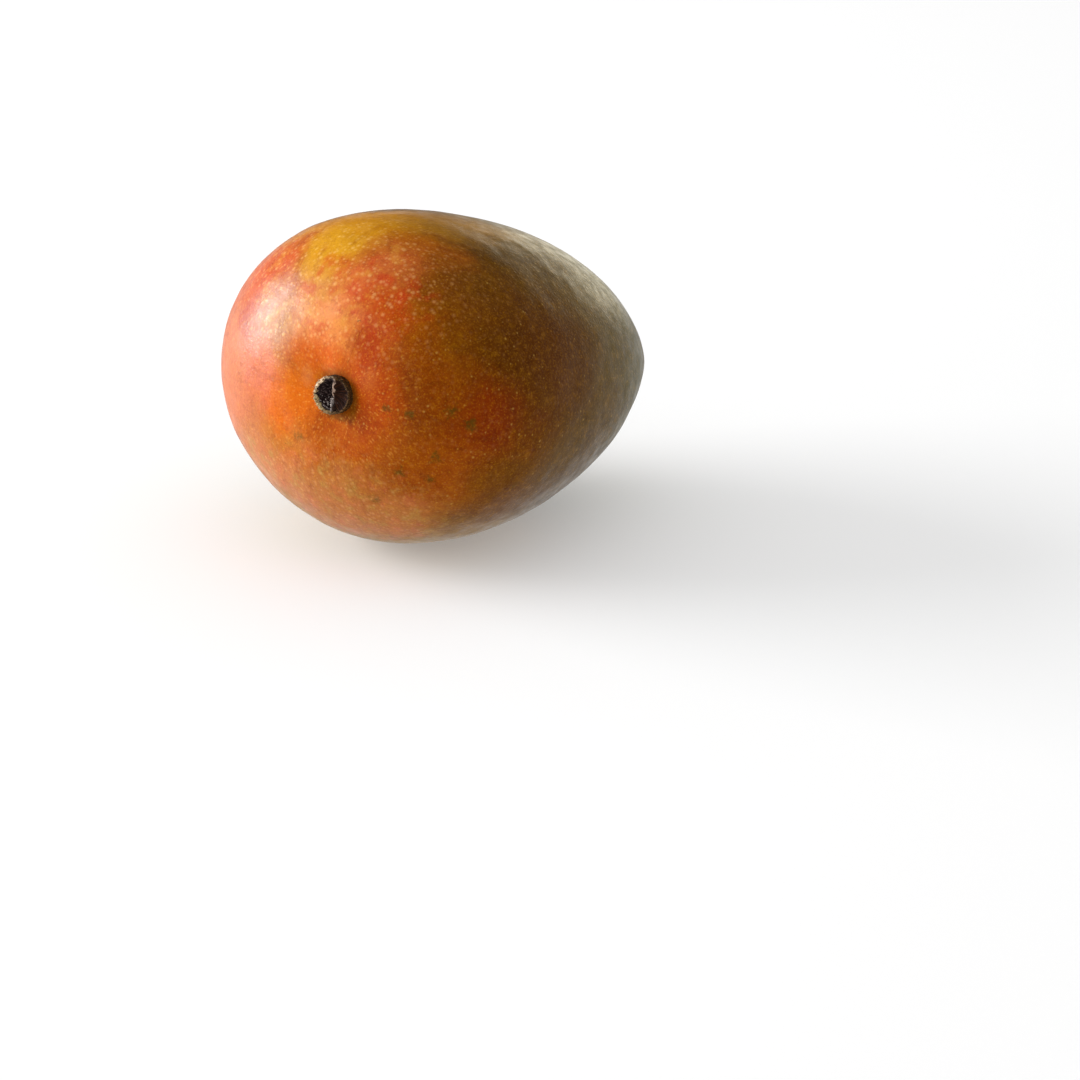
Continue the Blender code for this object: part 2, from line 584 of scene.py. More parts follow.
@dataclass(frozen=True)
class FruitForm:
    """The shape of the fruit in its own axes, in millimetres."""

    half_length: float = 53.7
    half_width: float = 43.6
    half_thickness: float = 35.5
    width_taper: float = 0.10
    thickness_taper: float = 0.19
    end_fullness: float = 0.16
    tip_slimness: float = 0.07
    bend_to_belly: float = 6.5
    bow_upwards: float = 2.9
    lean_to_back: float = 2.5
    lean_downwards: float = 0.85
    hollow_depth: float = 2.4
    hollow_radius: float = 12.5
    fold_depth: float = 0.26
    fold_radius: float = 9.0
    fold_count: int = 5
    fold_turn: float = math.radians(100.0)
    fold_fade_below: float = 0.4
    beak_towards: Triple = (0.80, -0.60, 0.02)
    beak_height: float = 1.5
    beak_angle: float = math.radians(15.0)
    dip_towards: Triple = (0.97, -0.24, 0.01)
    dip_depth: float = 0.5
    dip_angle: float = math.radians(12.0)
    stalk_crowding: float = 0.30
    ends_crowding: float = 0.20

    def stalk_end(self) -> np.ndarray:
        """Return the middle of the stalk end, before the hollow is drawn in."""
        return self.body(np.array([[-1.0, 0.0, 0.0]]))[0]

    def stalk_foot(self) -> np.ndarray:
        """Return the floor of the hollow, where the stub stands."""
        return self.stalk_end() + (self.hollow_depth, 0.0, 0.0)

    def body(self, directions: np.ndarray) -> np.ndarray:
        """Shape the plain ovate body.

        Args:
            directions: Unit directions from the fruit's middle, one row each.

        Returns:
            The body's points in those directions.
        """
        along, across, upwards = directions.T
        fullness = 1.0 + self.end_fullness * along ** 2 - self.tip_slimness * along ** 3
        width = self.half_width * (1.0 - self.width_taper * along) * fullness
        thickness = self.half_thickness * (1.0 - self.thickness_taper * along) * fullness
        return np.stack([
            self.half_length * along,
            width * across - self.bend_to_belly * along ** 2 + self.lean_to_back * along,
            thickness * upwards + self.bow_upwards * along ** 2 - self.lean_downwards * along,
        ], axis=1)

    def drawn_in(self, points: np.ndarray) -> np.ndarray:
        """Shape the hollow at the stalk end and its folds.

        Args:
            points: Points of the plain body, one row each.

        Returns:
            How far each point is drawn in along +X.
        """
        across, upwards = (points - self.stalk_end())[:, 1:].T
        distance = np.hypot(across, upwards)
        around = np.arctan2(upwards, across)
        hollow = self.hollow_depth * bell(distance, 0.0, self.hollow_radius)
        spread = (distance / self.fold_radius) ** 2
        strength = 1.0 - self.fold_fade_below * (1.0 - np.sin(around))
        waves = np.cos(self.fold_count * around + self.fold_turn)
        folds = self.fold_depth * strength * waves * spread * np.exp(1.0 - spread)
        return np.where(points[:, 0] < 0.0, hollow + folds, 0.0)

    def knob(self, directions: np.ndarray, towards: Triple, reach: float) -> np.ndarray:
        """Return a bell of height 1 about one direction, with its reach as an angle."""
        middle = np.array(towards) / np.linalg.norm(towards)
        return bell(np.arccos(np.clip(directions @ middle, -1.0, 1.0)), 0.0, reach)

    def crowd(self, directions: np.ndarray) -> np.ndarray:
        """Draw directions together where the skin needs its finest cells, at the stalk and the tip.

        Args:
            directions: Unit directions, one row each.

        Returns:
            The crowded directions.
        """
        angle = np.arccos(np.clip(-directions[:, 0], -1.0, 1.0))
        crowded = angle - self.stalk_crowding * np.sin(angle) - self.ends_crowding * np.sin(2.0 * angle)
        radius = np.linalg.norm(directions[:, 1:], axis=1, keepdims=True)
        ring = directions[:, 1:] / np.maximum(radius, TINY)
        return np.column_stack([-np.cos(crowded), ring * np.sin(crowded)[:, None]])

    def skin(self, cube: np.ndarray) -> np.ndarray:
        """Shape the finished skin.

        Args:
            cube: Points on the faces of a cube of half width 1, one row each.

        Returns:
            The skin's points.
        """
        even = np.tan(0.25 * math.pi * cube)
        directions = self.crowd(even / np.linalg.norm(even, axis=1, keepdims=True))
        points = self.body(directions)
        points[:, 0] += self.drawn_in(points)
        beak = self.beak_height * self.knob(directions, self.beak_towards, self.beak_angle)
        dip = self.dip_depth * self.knob(directions, self.dip_towards, self.dip_angle)
        return points + directions * (beak - dip)[:, None]


@dataclass(frozen=True)
class RestingPlace:
    """How the fruit lies: its attitude, and the box of the model around it."""

    form: FruitForm = FruitForm()
    pitch: float = math.radians(6.5)
    roll: float = math.radians(3.0)
    flat_depth: float = 0.6
    sample_cells: int = 60

    def turn(self) -> Matrix:
        """Return the turn from the fruit's own axes to its attitude at rest."""
        return Matrix.Rotation(self.pitch, 4, "Y") @ Matrix.Rotation(self.roll, 4, "X")

    def matrix(self) -> Matrix:
        """Fit the fruit into its box.

        Returns:
            The matrix, in metres, from the fruit's own axes to its place in the model.
        """
        steps = np.linspace(-1.0, 1.0, self.sample_cells + 1)
        first, second = (grid.ravel() for grid in np.meshgrid(steps, steps))
        sides = []
        for axis in range(3):
            for end in (-1.0, 1.0):
                sides.append(np.insert(np.column_stack([first, second]), axis, end, axis=1))
        turn = self.turn()
        points = self.form.skin(np.vstack(sides)) * MM @ np.array(turn.to_3x3()).T
        low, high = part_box("fruit")
        shift = 0.5 * (low + high) - Vector(0.5 * (points.min(axis=0) + points.max(axis=0)))
        shift.z = low.z - self.flat_depth * MM - points[:, 2].min()
        return Matrix.Translation(shift) @ turn

    def stalk_matrix(self) -> Matrix:
        """Return the matrix from the stub's axes, +Z out, +X to the belly and +Y upwards, to the model's."""
        turn = Matrix(((0.0, 0.0, -1.0), (-1.0, 0.0, 0.0), (0.0, 1.0, 0.0))).to_4x4()
        return self.matrix() @ Matrix.Translation(Vector(self.form.stalk_foot()) * MM) @ turn


@dataclass(frozen=True)
class Patch:
    """A soft patch of colour on the skin, placed in the fruit's own axes and in millimetres."""

    name: str
    colour: Colour
    middle: Triple
    reach: Triple
    strength: float = 1.0
    softness: float = 0.5
    strays: bool = True


@dataclass(frozen=True)
class Dots:
    """Round pores of one kind: their mean distance and their radius in millimetres.

    The radius is the smallest and the largest, the strength is that where freckles are few and where they are
    many, and the boldness is that of the faintest and of the boldest pore.
    """

    colour: Colour
    spacing: float
    radius: Pair
    strength: Pair
    boldness: Pair = (1.0, 1.0)
    mixing: Mixing = Mixing.COVER


@dataclass(frozen=True)
class Smudges:
    """Dark smudges of one size, with their places in the fruit's own axes."""

    reach: float
    strength: float
    places: tuple[Triple, ...]


@dataclass(frozen=True)
class SkinFinish:
    """Ripe skin: a blush round the stalk over gold and olive, dotted with pores and dulled by wax."""

    # The ground, which changes along the fruit.
    stalk_colour: Colour = Colour(170, 84, 8)
    ground: tuple[Tone, ...] = (
        Tone(Colour(110, 62, 0), -56.0, -30.0),
        Tone(Colour(92, 64, 0), -34.0, -4.0),
        Tone(Colour(86, 80, 18), -4.0, 34.0),
    )
    # The patches, whose edges wander.
    wandering: tuple[Drift, ...] = (Drift(13.0, 2.6), Drift(3.2, 1.1, 3.0), Drift(0.8, 0.5, 2.0))
    settled: Drift = Drift(1.6, 0.4, 2.0)
    patches: tuple[Patch, ...] = (
        Patch("back_blush", Colour(182, 84, 34), (-32.0, 33.0, 8.0), (20.0, 18.0, 28.0)),
        Patch("back_gold", Colour(160, 118, 20), (-6.0, 36.0, 4.0), (19.0, 18.0, 26.0), 0.85, 0.9),
        Patch("underside", Colour(156, 118, 22), (-20.0, 0.0, -34.0), (34.0, 34.0, 15.0), 0.9),
        Patch("belly_brown", Colour(87, 40, 0), (-24.0, -40.0, 14.0), (22.0, 14.0, 14.0), 0.75, 0.6),
        Patch("top_ochre", Colour(204, 136, 0), (-28.0, 2.0, 38.0), (15.0, 14.0, 10.0)),
        Patch("far_ochre", Colour(182, 122, 4), (-9.0, -7.5, 38.0), (16.0, 9.5, 8.0), 0.9, 0.7),
        Patch("tip_ochre", Colour(132, 104, 30), (10.0, -8.0, 35.0), (16.0, 12.0, 9.0), 0.6, 0.8),
        Patch("amber", Colour(176, 88, 0), (-35.0, -12.5, 34.0), (10.0, 9.0, 7.5), 0.9, 0.7),
        Patch("russet", Colour(126, 35, 0), (-42.0, -40.0, 2.0), (12.0, 9.5, 8.5), 0.85, 0.7),
        # Brown right of the stub: the skin's own colour, darkened further with painted shade.
        Patch("umber_and_shade", Colour(130, 54, 0), (-49.0, -27.0, 7.0), (7.0, 7.4, 11.5), 0.95, 0.8),
        Patch("lower_rust", Colour(150, 68, 2), (-47.0, -28.0, -9.0), (8.0, 10.0, 8.0)),
        Patch("lower_tan", Colour(178, 106, 50), (-44.0, -10.0, -24.0), (11.0, 20.0, 12.0)),
        Patch("orange_red", Colour(168, 60, 0), (-51.0, -16.4, 8.0), (8.0, 6.4, 13.0), 1.0, 0.8),
        Patch("salmon", Colour(208, 102, 50), (-45.5, -8.0, 27.0), (10.0, 10.0, 9.0), 1.0, 0.7),
        Patch("coral", Colour(226, 132, 72), (-50.4, -7.0, 18.0), (6.0, 8.5, 7.2), 1.0, 0.6),
        Patch("red", Colour(186, 64, 6), (-48.0, -16.0, 22.0), (7.0, 6.0, 7.0), 0.7),
        Patch("stub_orange", Colour(210, 96, 0), (-52.0, 3.0, -1.0), (8.0, 12.0, 11.0)),
        Patch("below_stub", Colour(168, 70, 0), (-52.0, -8.0, -6.5), (6.0, 9.0, 5.5), 0.85),
        Patch("lower_left", Colour(190, 112, 62), (-46.0, 13.0, -16.0), (9.0, 13.0, 12.0)),
        Patch("left_olive", Colour(184, 106, 26), (-50.4, 5.6, -7.6), (3.0, 5.0, 3.4), 0.8, 0.8),
        Patch("left_edge", Colour(200, 110, 70), (-45.0, 24.0, 0.0), (11.0, 9.0, 13.0)),
        Patch("upper_edge", Colour(204, 132, 28), (-33.0, 15.0, 31.0), (11.0, 10.0, 8.0), 0.95, 0.6),
        Patch("rose", Colour(200, 86, 42), (-40.0, 19.0, 23.0), (10.0, 11.0, 9.0), 1.0, 0.6),
        Patch("pale_rose", Colour(184, 106, 66), (-46.0, 12.0, 20.0), (6.0, 6.0, 7.0), 0.8),
        Patch("left_pink", Colour(210, 106, 74), (-49.0, 13.5, 5.0), (6.0, 6.0, 8.0), 0.75),
        Patch("coral_tail", Colour(228, 142, 64), (-50.6, -12.0, 18.2), (4.0, 3.3, 3.6), 0.8, 0.8),
        Patch("gold_tail", Colour(206, 136, 50), (-47.0, 0.0, 25.0), (5.0, 5.5, 7.0), 0.9),
        Patch("gold", Colour(214, 152, 22), (-40.0, 3.0, 32.0), (9.0, 6.0, 6.0), 0.9, 0.7),
        Patch("left_red", Colour(172, 50, 10), (-46.0, 20.0, 13.0), (4.0, 4.0, 4.5), 0.8),
        # Deep red in the valley of a fold above the stub: the skin's own colour, darkened with painted shade
        # in the crease.
        Patch("fold_red_and_shade", Colour(160, 44, 0), (-50.8, -14.9, 14.3), (4.0, 3.1, 5.4), 0.9, 0.8, False),
        Patch("above_stub", Colour(208, 86, 10), (-51.6, -4.4, 11.0), (3.0, 8.0, 3.1), 0.85, 0.8, False),
        # Painted shade on the skin right of and below the stub.
        Patch("beside_stub_shade", Colour(138, 44, 0), (-51.4, -15.6, -0.6), (3.0, 3.4, 2.8), 0.75, 0.8, False),
        Patch("left_scuff", Colour(210, 136, 84), (-51.4, -1.4, 6.0), (1.5, 1.4, 1.8), 0.3, 0.9, False),
        Patch("right_scuff", Colour(206, 122, 54), (-51.6, -16.9, 8.3), (2.4, 1.9, 2.6), 0.24, 0.9, False),
        # Painted shadow that the stub casts on the skin right of it and below it.
        Patch("stub_shade", Colour(84, 34, 0), (-51.4, -13.2, 2.4), (3.0, 1.1, 3.4), 0.8, 0.8, False),
        Patch("stub_foot_shade", Colour(104, 50, 6), (-51.4, -10.0, -0.9), (3.0, 3.6, 0.9), 0.7, 0.8, False),
    )
    # Where freckles are many, and how far the edge of a zone strays.
    straying: Drift = Drift(9.0, 2.0)
    freckled: tuple[Zone, ...] = (
        Zone((-42.0, 4.0, 27.0), (19.0, 26.0, 16.5), (1.6, 0.7)),
        Zone((-45.0, 4.0, -20.0), (13.0, 28.0, 12.0), (1.6, 0.7), 0.42),
    )
    # What is mottled.
    streaks: Mottling = Mottling(Pattern(0.09, 4.0, 0.6), (
        Tone(Colour(190, 140, 90), 0.52, 0.75, 0.35, Mixing.STAIN),
    ))
    streak_change: float = 0.012
    clouds: Mottling = Mottling(Pattern(2.2, 3.0, 0.65), (
        Tone(Colour(170, 100, 60), 0.5, 0.8, 0.4, Mixing.STAIN),
        Tone(Colour(250, 176, 20), 0.5, 0.25, 0.08),
    ))
    blush: Mottling = Mottling(Pattern(3.6, 2.0, 0.55, (31.0, 7.0, 12.0)), (
        Tone(Colour(196, 44, 18), 0.44, 0.70, 0.55),
    ), Zone((-46.0, -8.0, 24.0), (16.0, 16.0, 8.5), (1.4, 0.7)))
    lower: Mottling = Mottling(Pattern(3.6, 3.0, 0.6, (8.0, -23.0, 5.0)), (
        Tone(Colour(172, 132, 60), 0.50, 0.68, 0.5),
        Tone(Colour(206, 104, 68), 0.48, 0.32, 0.3),
    ), Zone((-45.0, -2.0, -23.0), (15.0, 27.0, 13.0), (1.5, 0.8)))
    pale: Mottling = Mottling(Pattern(4.6, 3.0, 0.6, (-17.0, 5.0, 40.0)), (
        Tone(Colour(222, 158, 56), 0.50, 0.74, 0.4),
    ))
    pale_where: Pair = (0.75, 1.0)
    fine: Mottling = Mottling(Pattern(0.42, 2.0, 0.6), (
        Tone(Colour(200, 140, 100), 0.5, 0.8, 0.42, Mixing.STAIN),
        Tone(Colour(250, 176, 30), 0.5, 0.2, 0.18),
    ))
    # The pores.
    pore_scatter: float = 0.85
    speckles: Dots = Dots(Colour(232, 168, 70), 0.95, (0.18, 0.40), (0.08, 0.42))
    sparse_pores: Dots = Dots(Colour(216, 174, 84), 2.3, (0.26, 0.46), (0.4, 0.0))
    dashes: Dots = Dots(Colour(240, 168, 70), 0.82, (0.15, 0.38), (0.34, 0.34))
    dash_growth: float = 15.0
    dash_reach: Pair = (27.0, 13.0)
    freckles: Dots = Dots(Colour(208, 152, 96), 1.22, (0.34, 0.78), (0.08, 0.64), (0.6, 1.0), Mixing.LIGHTEN)
    freckle_shift: Triple = (3.0, 50.0, 9.0)
    freckle_clearance: Pair = (4.5, 10.0)
    freckle_at_stalk: float = 0.4
    # The smudges at their places, and a few spots by chance.
    smudge_colour: Colour = Colour(66, 62, 12)
    smudge_drifts: tuple[Drift, ...] = (Drift(1.8, 0.8, 2.0), Drift(0.5, 0.35, 3.0))
    smudge_edge: Pair = (1.3, 0.3)
    smudge_breaks: Pattern = Pattern(0.6)
    smudge_break_range: Pair = (0.34, 0.58)
    smudge_thinnest: float = 0.45
    smudges: tuple[Smudges, ...] = (
        Smudges(1.45, 0.66, (
            (-48.9, -25.0, -10.0), (-46.0, -30.5, -11.0), (-50.4, -27.0, 3.0), (-46.4, -34.6, 4.9),
            (-47.0, -32.0, -5.7), (-43.4, -38.0, 2.0), (-47.1, -18.2, -18.1), (-51.2, -0.5, -7.8),
            (-51.5, -21.7, 3.1),
        )),
        Smudges(0.45, 0.7, ((-50.7, 9.0, -1.5), (-50.2, 3.9, -10.3), (-50.2, -11.9, 19.9))),
    )
    spot_spacing: float = 9.0
    spot_edge: Pair = (1.2, 0.2)
    spot_choice: Pair = (0.6, 0.9)
    spot_strength: float = 0.4
    spotted_from: Pair = (-38.0, -28.0)
    stalk_ring: Tone = Tone(Colour(128, 74, 12), 6.2, 4.4, 0.35)
    # The relief and the gloss.
    peel: Pattern = Pattern(0.7, 2.0, 0.6)
    peel_depth: float = 0.05
    freckle_depth: float = 0.02
    wax: Pattern = Pattern(3.0, 4.0, 0.7)
    wax_range: Pair = (0.3, 0.7)
    roughness: Pair = (0.30, 0.44)
    dull_zone: Zone = Zone((-51.0, -11.5, 4.0), (1.0, 1.0, 1.0), (19.5, 13.5))
    dull_roughness: float = 0.88
    gloss: float = 0.18
    wax_tint: Colour = Colour(255, 214, 120)

    def material(self, place: RestingPlace) -> bpy.types.Material:
        """Lay out the material, read in the fruit's own axes.

        Args:
            place: Where the fruit lies.

        Returns:
            The material.
        """
        material, bench = new_material("mango_skin")
        painter = SkinPainter(self, bench, place)
        painter.paint_patches()
        painter.paint_mottlings()
        freckle = painter.paint_pores()
        painter.mottle(painter.own, self.fine)
        painter.paint_smudges()
        normal = bench.relief(bench.noise(painter.own, self.peel), self.peel_depth)
        normal = bench.relief(freckle, self.freckle_depth, normal)
        waxy = bench.step(bench.noise(painter.own, self.wax), *self.wax_range, *self.roughness)
        dulled = bench.between(bench.within(painter.own, self.dull_zone), waxy, self.dull_roughness)
        bench.fill(SHADER, Base_Color=painter.colour, Roughness=dulled, Normal=normal,
                   Specular_IOR_Level=self.gloss, Specular_Tint=self.wax_tint)
        return material


class SkinPainter:
    """Lays the skin's colours one over the other."""

    def __init__(self, finish: SkinFinish, bench: Bench, place: RestingPlace) -> None:
        """Find the places that the colours go by.

        Args:
            finish: The colours and sizes of all that is laid.
            bench: Where the finish is laid out.
            place: Where the fruit lies.
        """
        self.finish = finish
        self.bench = bench
        self.colour: Paint = finish.stalk_colour
        self.own = bench.place(place.matrix().inverted())
        foot = [float(part) for part in place.form.stalk_foot()]
        self.outwards = bench.vector("SUBTRACT", self.own, foot)
        self.from_stalk = bench.distance(self.own, foot)
        self.straying = bench.drift(self.own, finish.straying)
        self.many = bench.compute("MAXIMUM", *[bench.within(self.straying, zone) for zone in finish.freckled])

    def paint_patches(self) -> None:
        """Lay the ground, which runs from the stalk to the tip, and the soft patches on it."""
        bench = self.bench
        wandering = bench.drift(self.own, *self.finish.wandering)
        settled = bench.drift(self.own, self.finish.settled)
        along = bench.split(wandering)[0]
        for tone in self.finish.ground:
            self.colour = bench.tint(along, self.colour, tone)
        for patch in self.finish.patches:
            away = bench.distance(wandering if patch.strays else settled, patch.middle, patch.reach)
            share = bench.step(away, 1.0 + patch.softness, 1.0 - patch.softness, 0.0, patch.strength)
            self.colour = bench.lay(share, self.colour, patch.colour)
            self.colour.node.label = patch.name

    def mottle(self, place: Socket, mottling: Mottling, *where: Number) -> None:
        """Lay the tones of a mottling.

        Args:
            place: The coordinates that its pattern is read at.
            mottling: The pattern and the tones.
            where: Further shares of the tones, from 0 to 1.
        """
        value = self.bench.noise(place, mottling.pattern)
        if mottling.zone is not None:
            where = (*where, self.bench.within(self.straying, mottling.zone))
        for tone in mottling.tones:
            self.colour = self.bench.tint(value, self.colour, tone, *where)

    def paint_mottlings(self) -> None:
        """Lay the fine streaks that run out from the stalk, and what is mottled all over or in one zone."""
        bench, finish, own = self.bench, self.finish, self.own
        around = bench.vector("NORMALIZE", bench.vector("MULTIPLY", self.outwards, (0.0, 1.0, 1.0)))
        running = bench.vector("MULTIPLY_ADD", own, (finish.streak_change, 0.0, 0.0), around)
        self.mottle(running, finish.streaks)
        for mottling in (finish.clouds, finish.blush, finish.lower):
            self.mottle(own, mottling)
        self.mottle(own, finish.pale, bench.step(self.many, *finish.pale_where))

    def dot(self, place: Socket, dots: Dots, *where: Number) -> Socket:
        """Lay soft round dots.

        Args:
            place: The coordinates, in millimetres.
            dots: Their spacing, size and colour.
            where: Further shares of them, from 0 to 1.

        Returns:
            The dots, for their relief.
        """
        bench = self.bench
        away, draw = bench.spots(place, dots.spacing, self.finish.pore_scatter)
        dot = bench.step(bench.compute("DIVIDE", away, bench.between(draw, *dots.radius)), 1.0, 0.0)
        strength = bench.between(self.many, *dots.strength)
        share = bench.product(dot, strength, bench.between(draw, *dots.boldness), *where)
        self.colour = bench.lay(share, self.colour, dots.colour, dots.mixing)
        return dot

    def paint_pores(self) -> Socket:
        """Lay the speckles, the sparse pores, the dashes that point at the stalk, and the freckles.

        Returns:
            The freckles, for their relief.
        """
        bench, finish = self.bench, self.finish
        self.dot(self.own, finish.speckles)
        self.dot(self.own, finish.sparse_pores)
        slower = bench.compute("SQRT", bench.compute("DIVIDE", finish.dash_growth, self.from_stalk))
        near_stalk = bench.step(self.from_stalk, *finish.dash_reach)
        self.dot(bench.vector("MULTIPLY", self.outwards, slower), finish.dashes, near_stalk)
        clear_of_stalk = bench.step(self.from_stalk, *finish.freckle_clearance, finish.freckle_at_stalk)
        shifted = bench.vector("ADD", self.own, finish.freckle_shift)
        return self.dot(shifted, finish.freckles, clear_of_stalk)

    def paint_smudges(self) -> None:
        """Lay a few dark spots by chance, the smudges at their places, and the brown ring round the stalk."""
        bench, finish = self.bench, self.finish
        ragged = bench.drift(self.own, *finish.smudge_drifts)
        away, draw = bench.spots(ragged, finish.spot_spacing)
        smudge = bench.product(
            bench.step(away, *finish.spot_edge),
            bench.step(draw, *finish.spot_choice, 0.0, finish.spot_strength),
            bench.step(bench.split(self.own)[0], *finish.spotted_from),
        )
        for group in finish.smudges:
            for middle in group.places:
                zone = Zone(middle, (group.reach,) * 3, finish.smudge_edge, group.strength)
                smudge = bench.compute("MAXIMUM", smudge, bench.within(ragged, zone))
        breaks = bench.noise(self.own, finish.smudge_breaks)
        broken = bench.step(breaks, *finish.smudge_break_range, finish.smudge_thinnest, 1.0)
        self.colour = bench.lay(bench.product(smudge, broken), self.colour, finish.smudge_colour)
        self.colour = bench.tint(self.from_stalk, self.colour, finish.stalk_ring)


@dataclass(frozen=True)
class StubForm:
    """The shape of the broken stub in millimetres, in its own axes: +Z out, +X to the belly, +Y up.

    The width of the rim, the pit's wall and the inside are given as shares of the end's radius.
    """

    end_radius: float = 4.1
    root: float = 1.7
    rim_height: float = 2.2
    rim_slant: float = 0.6
    rim_rounding: float = 0.3
    rim_width: Pair = (0.9, 1.0)
    ridge_place: float = 0.5
    ridge_half_width: float = 0.6
    ridge_height: float = 1.0
    pit_depth: float = 2.3
    pit_wall: Pair = (0.9, 0.5)
    slope_depth: float = 0.5
    inside: Pair = (1.0, 0.7)
    fan_middle: Pair = (-0.5, 0.8)

    def rim(self, across: np.ndarray) -> np.ndarray:
        """Return the height of the rim over the floor of the hollow."""
        return self.rim_height - self.rim_slant * across / self.end_radius

    def height(self, across: np.ndarray, upwards: np.ndarray) -> np.ndarray:
        """Shape the broken end.

        Args:
            across: The places on the end, towards the belly.
            upwards: The same places, upwards.

        Returns:
            Its height over the floor of the hollow.
        """
        share = np.hypot(across, upwards) / self.end_radius
        inside = smooth(share, *self.inside)
        pit_side = smooth(across, self.ridge_place, self.ridge_place - 2.0 * self.ridge_half_width)
        ridge = self.ridge_height * bell(across, self.ridge_place, self.ridge_half_width) * inside
        pit = self.pit_depth * pit_side * smooth(share, *self.pit_wall)
        slope = self.slope_depth * (1.0 - pit_side) * inside
        return self.rim(across) - self.rim_rounding * smooth(share, *self.rim_width) + ridge - pit - slope


@dataclass(frozen=True)
class WoodFinish:
    """Broken wood of the stalk: a black pit, a pale ridge beside it, and dark ribbed wood beyond."""

    crumbs: Pattern = Pattern(0.45, 4.0, 0.75)
    crumb_depth: float = 0.15
    ribs: Pattern = Pattern(0.10, 3.0, 0.6)
    rib_depth: float = 0.08
    pit_colour: Colour = Colour(34, 20, 20)
    pit_light: Tone = Tone(Colour(112, 94, 90), 0.48, 0.68, 0.9)
    rib_dark: Colour = Colour(30, 17, 11)
    rib_light: Tone = Tone(Colour(64, 34, 20), 0.4, 0.62)
    side_dark: Colour = Colour(46, 31, 14)
    side_light: Tone = Tone(Colour(96, 66, 30), 0.4, 0.65)
    side_from: Pair = (0.84, 0.95)
    ridge_colour: Colour = Colour(190, 160, 140)
    ridge_edge: Pair = (0.30, 0.08)
    ridge_breaks: Pattern = Pattern(1.1)
    ridge_break_range: Pair = (0.36, 0.52)
    ridge_thinnest: float = 0.25
    ridge_fade: Pair = (-1.2, 0.4)
    ridge_faintest: float = 0.06
    ribbed_from: Pair = (-0.3, 0.1)
    ragged: Drift = Drift(0.8, 0.18, 3.0)
    roughness: float = 0.85
    gloss: float = 0.1

    def material(self, matrix: Matrix, form: StubForm) -> bpy.types.Material:
        """Lay out the material, read in the stub's axes.

        Args:
            matrix: The matrix from the stub's axes to the model's.
            form: The stub's shape.

        Returns:
            The material.
        """
        material, bench = new_material("stalk_wood")
        own = bench.place(matrix.inverted())
        ragged = bench.drift(own, self.ragged)
        across, upwards, _ = bench.split(ragged)
        from_fan = bench.vector("SUBTRACT", own, (*form.fan_middle, 0.0))
        around = bench.vector("NORMALIZE", bench.vector("MULTIPLY", from_fan, (1.0, 1.0, 0.0)))
        ribs = bench.noise(around, self.ribs)
        crumbs = bench.noise(own, self.crumbs)
        ribbed = bench.tint(ribs, self.rib_dark, self.rib_light)
        pit = bench.tint(crumbs, self.pit_colour, self.pit_light)
        beyond = bench.step(across, *(form.ridge_place + part for part in self.ribbed_from))
        colour = bench.lay(beyond, pit, ribbed)

        from_ridge = bench.compute("ABSOLUTE", bench.compute("SUBTRACT", across, form.ridge_place))
        breaks = bench.noise(own, self.ridge_breaks)
        ridge = bench.product(
            bench.step(from_ridge, *self.ridge_edge),
            bench.step(breaks, *self.ridge_break_range, self.ridge_thinnest, 1.0),
            bench.step(upwards, *self.ridge_fade, self.ridge_faintest, 1.0),
        )
        colour = bench.lay(ridge, colour, self.ridge_colour)

        flat = bench.vector("MULTIPLY", ragged, (1.0, 1.0, 0.0))
        outwards = bench.distance(flat, (0.0, 0.0, 0.0), (form.end_radius,) * 3)
        side = bench.tint(crumbs, self.side_dark, self.side_light)
        colour = bench.lay(bench.step(outwards, *self.side_from), colour, side)
        normal = bench.relief(ribs, self.rib_depth, bench.relief(crumbs, self.crumb_depth))
        bench.fill(SHADER, Base_Color=colour, Roughness=self.roughness, Specular_IOR_Level=self.gloss,
                   Normal=normal)
        return material


@dataclass(frozen=True)
class FleckedFinish:
    """A dry finish of the stub: a colour, the tones that it takes upwards and across, and its flecks."""

    name: str
    colour: Colour
    flecks: Mottling
    depth: float
    roughness: float
    upwards: tuple[Tone, ...] = ()
    across: tuple[Tone, ...] = ()
    gloss: float = 0.1

    def material(self, matrix: Matrix) -> bpy.types.Material:
        """Lay out the material, read in the stub's axes.

        Args:
            matrix: The matrix from the stub's axes to the model's.

        Returns:
            The material.
        """
        material, bench = new_material(self.name)
        own = bench.place(matrix.inverted())
        across, upwards, _ = bench.split(own)
        fleck = bench.noise(own, self.flecks.pattern)
        colour = self.colour
        for value, tones in ((upwards, self.upwards), (across, self.across), (fleck, self.flecks.tones)):
            for tone in tones:
                colour = bench.tint(value, colour, tone)
        bench.fill(SHADER, Base_Color=colour, Roughness=self.roughness, Specular_IOR_Level=self.gloss,
                   Normal=bench.relief(fleck, self.depth))
        return material


# Pale corky bark, frayed where the stalk broke off; greyer and darker towards the bottom, and on the belly's
# side greyer and greener and darkened with painted shade.
BARK = FleckedFinish(
    "stalk_bark", Colour(240, 212, 176),
    Mottling(Pattern(0.5, 5.0, 0.75), (
        Tone(Colour(150, 116, 80), 0.56, 0.44),
        Tone(Colour(58, 38, 28), 0.46, 0.36),
    )),
    depth=0.12, roughness=0.92,
    upwards=(Tone(Colour(196, 176, 130), 1.5, -1.5),),
    # Darker towards the belly's side: painted shade.
    across=(Tone(Colour(62, 48, 30), -2.5, 1.2),),
)

# Grey crumbs of pith in the pit.
PITH = FleckedFinish(
    "stalk_pith", Colour(70, 54, 50),
    Mottling(Pattern(0.35, 3.0, 0.7), (Tone(Colour(206, 194, 188), 0.38, 0.6),)),
    depth=0.1, roughness=0.9,
)


